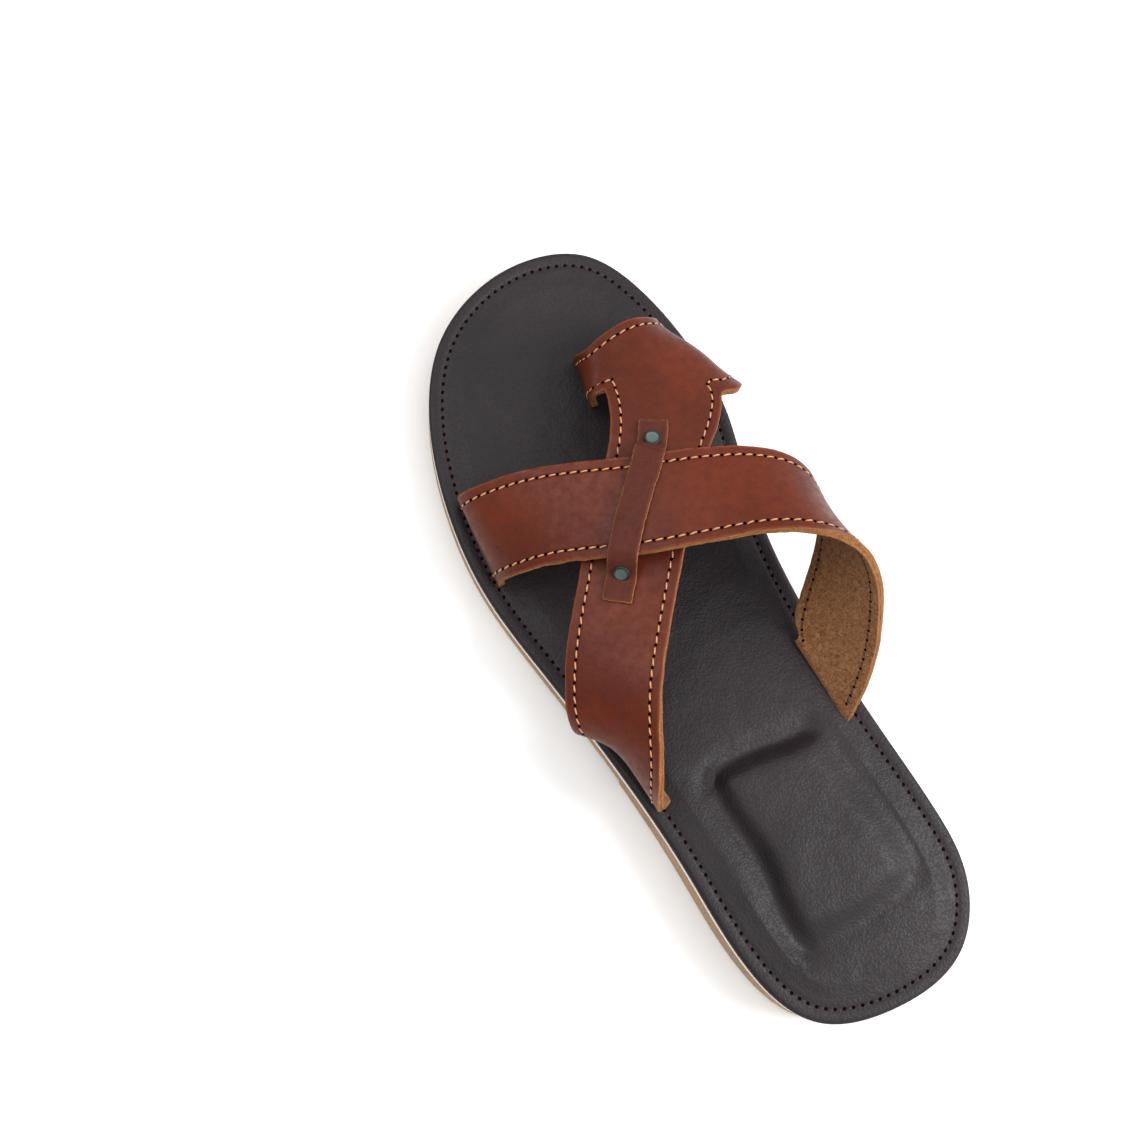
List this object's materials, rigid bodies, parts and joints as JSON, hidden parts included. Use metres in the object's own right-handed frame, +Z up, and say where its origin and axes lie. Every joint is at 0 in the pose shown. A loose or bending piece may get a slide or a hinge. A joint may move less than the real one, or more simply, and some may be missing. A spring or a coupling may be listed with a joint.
{
  "type": "flip flop",
  "caption": "Left leather slide sandal: flat footbed on a low-heeled rubber sole, crossed straps and a loop round the big toe, joined by a riveted keeper.",
  "frame": {"origin": "on the ground under the middle of the heel", "axes": "+Z up, +Y along the sole to the toe, +X to the inner (big toe) side of the left foot"},
  "size_m": [0.1113, 0.2761, 0.0674],
  "materials": {
    "footbed_leather": "satin",
    "fibre_board": "matte",
    "latex_foam": "matte",
    "white_foam": "matte",
    "gum_rubber": "matte",
    "brown_leather": "satin",
    "suede_lining": "napped",
    "tan_thread": "waxed",
    "dark_thread": "waxed",
    "gunmetal": "aged"
  },
  "bodies": {
    "root": {"outsole": "gum_rubber", "midsole": "white_foam", "insole_board": "fibre_board", "footbed_padding": "latex_foam", "heel_pad": "latex_foam", "footbed_cover": "footbed_leather", "footbed_thread": "dark_thread", "cross_strap_upper": "brown_leather", "cross_strap_lining": "suede_lining", "cross_strap_thread_front": "tan_thread", "cross_strap_thread_rear": "tan_thread", "toe_strap_upper": "brown_leather", "toe_strap_lining": "suede_lining", "toe_strap_thread_front": "tan_thread", "toe_strap_thread_outer": "tan_thread", "toe_strap_thread_inner": "tan_thread", "keeper_strap": "brown_leather", "front_rivet_cap": "gunmetal", "front_rivet_post": "gunmetal", "rear_rivet_cap": "gunmetal", "rear_rivet_post": "gunmetal"}
  },
  "joints": []
}
